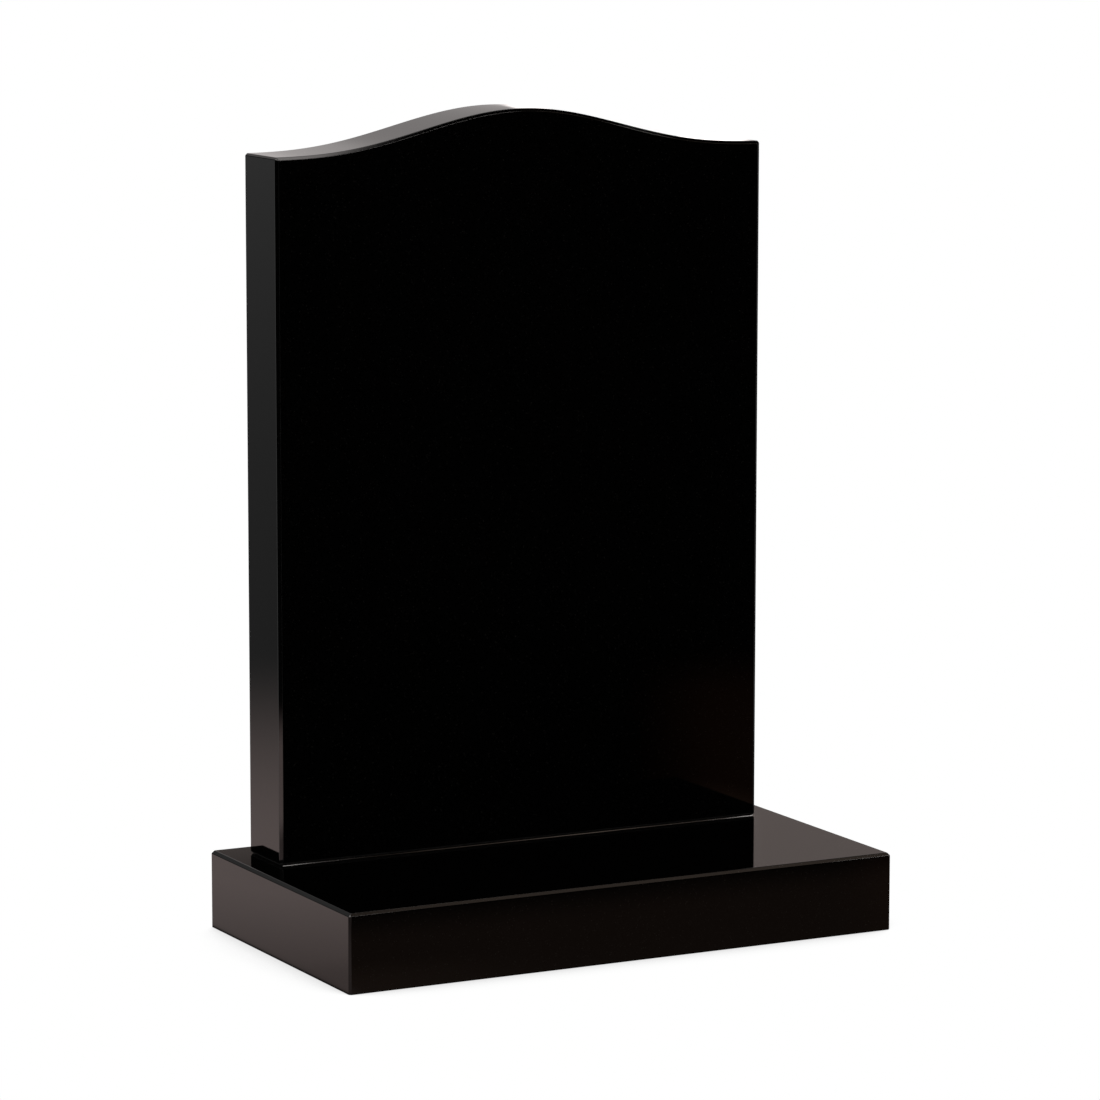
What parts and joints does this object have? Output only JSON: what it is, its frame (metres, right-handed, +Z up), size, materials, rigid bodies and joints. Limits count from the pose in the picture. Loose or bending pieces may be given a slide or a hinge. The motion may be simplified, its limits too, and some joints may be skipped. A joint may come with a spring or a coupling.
{
  "type": "headstone",
  "caption": "Upright lawn memorial: a polished black granite tablet with a swept ogee top on a low rectangular slab base, without lettering.",
  "frame": {"origin": "on the ground, under the middle of the base", "axes": "+Z up; the face that would carry an inscription looks along -Y; +X is to the right when seen from above with +Y away"},
  "size_m": [0.61, 0.33, 0.8323],
  "materials": {
    "granite_base": "mirror polished black granite",
    "granite_tablet": "mirror polished black granite"
  },
  "bodies": {
    "root": {"base": "granite_base", "tablet": "granite_tablet"}
  },
  "joints": []
}
